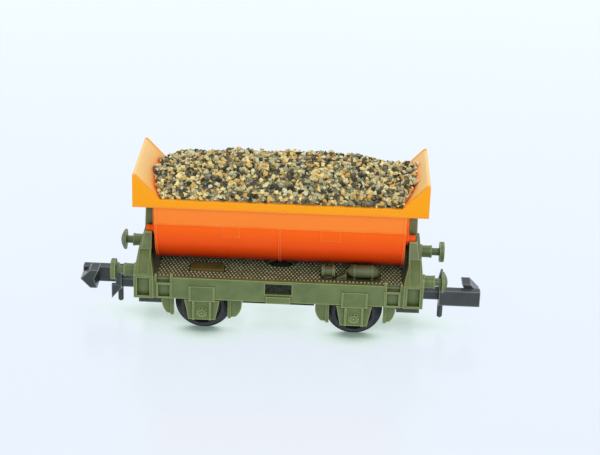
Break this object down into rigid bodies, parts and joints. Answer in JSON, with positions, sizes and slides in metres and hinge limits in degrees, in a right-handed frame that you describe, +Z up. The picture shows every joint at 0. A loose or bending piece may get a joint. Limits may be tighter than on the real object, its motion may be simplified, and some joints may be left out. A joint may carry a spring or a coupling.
{
  "type": "side-tipping tub wagon model",
  "caption": "Railway model wagon whose gravel-filled tub tips sideways on pegs between end stands, with buffers and hook couplers.",
  "frame": {"origin": "centre of the wagon's plan, at the level of the wheel flange bottoms", "axes": "+X along the track towards end b, +Y across the track towards the rear side, +Z up; the side with the air reservoir faces -Y"},
  "size_m": [0.0606, 0.0166, 0.0264],
  "materials": {
    "frame_green": "satin moulded olive green",
    "locker_brown": "satin",
    "tub_orange": "semi-gloss, slightly translucent orange",
    "gravel": "loose stones, tan, grey green and slate",
    "ballast_black": "black",
    "coupler_black": "satin black",
    "spring_steel": "plain",
    "axle_steel": "plain",
    "wheel_black": "blackened"
  },
  "bodies": {
    "chassis": {"air_reservoir": "frame_green", "axle_guard_front_a": "frame_green", "axle_guard_front_b": "frame_green", "axle_guard_rear_a": "frame_green", "axle_guard_rear_b": "frame_green", "ballast_weight": "ballast_black", "brake_block_inner_front_a": "frame_green", "brake_block_inner_front_b": "frame_green", "brake_block_inner_rear_a": "frame_green", "brake_block_inner_rear_b": "frame_green", "brake_block_outer_front_a": "frame_green", "brake_block_outer_front_b": "frame_green", "brake_block_outer_rear_a": "frame_green", "brake_block_outer_rear_b": "frame_green", "brake_cylinder": "frame_green", "buffer_domed_front_b": "frame_green", "buffer_domed_rear_a": "frame_green", "buffer_flat_front_a": "frame_green", "buffer_flat_rear_b": "frame_green", "coupler_pocket_a": "frame_green", "coupler_pocket_b": "frame_green", "deck_locker": "locker_brown", "deck_plate": "frame_green", "end_stand_a": "frame_green", "end_stand_b": "frame_green", "floor_pan": "frame_green", "pocket_cover_a": "coupler_black", "pocket_cover_b": "coupler_black", "release_valve": "frame_green", "side_frame_front": "frame_green", "side_frame_rear": "frame_green"},
    "tub_body": {"tub": "tub_orange", "gravel_load": "gravel"},
    "wheelset_a": {"axle_a": "axle_steel", "wheel_front_a": "wheel_black", "wheel_rear_a": "wheel_black"},
    "coupler_link_a": {"coupler_spring_a": "spring_steel"},
    "coupler_body_a": {"coupler_a": "coupler_black"},
    "wheelset_b": {"axle_b": "axle_steel", "wheel_front_b": "wheel_black", "wheel_rear_b": "wheel_black"},
    "coupler_link_b": {"coupler_spring_b": "spring_steel"},
    "coupler_body_b": {"coupler_b": "coupler_black"}
  },
  "joints": [
    {"name": "tub_tip", "type": "hinge", "parent": "chassis", "child": "tub_body", "pos_m": [0, -0.0033, 0.01563], "axis": [1, 0, 0], "range_deg": [0, 48]},
    {"name": "wheelset_a_spin", "type": "hinge", "parent": "chassis", "child": "wheelset_a", "pos_m": [-0.0113, 0, 0.0043], "axis": [0, 1, 0], "continuous": true},
    {"name": "coupler_a_swing", "type": "hinge", "parent": "chassis", "child": "coupler_link_a", "pos_m": [-0.0203, 0, 0.0051], "axis": [0, 0, 1], "range_deg": [-10, 10], "stiffness_Nm_per_rad": 0.0003},
    {"name": "coupler_a_lift", "type": "hinge", "parent": "coupler_link_a", "child": "coupler_body_a", "pos_m": [-0.0203, 0, 0.0051], "axis": [0, 1, 0], "range_deg": [0, 8], "stiffness_Nm_per_rad": 0.0003},
    {"name": "wheelset_b_spin", "type": "hinge", "parent": "chassis", "child": "wheelset_b", "pos_m": [0.0113, 0, 0.0043], "axis": [0, 1, 0], "continuous": true},
    {"name": "coupler_b_swing", "type": "hinge", "parent": "chassis", "child": "coupler_link_b", "pos_m": [0.0203, 0, 0.0051], "axis": [0, 0, 1], "range_deg": [-10, 10], "stiffness_Nm_per_rad": 0.0003},
    {"name": "coupler_b_lift", "type": "hinge", "parent": "coupler_link_b", "child": "coupler_body_b", "pos_m": [0.0203, 0, 0.0051], "axis": [0, -1, 0], "range_deg": [0, 8], "stiffness_Nm_per_rad": 0.0003}
  ]
}
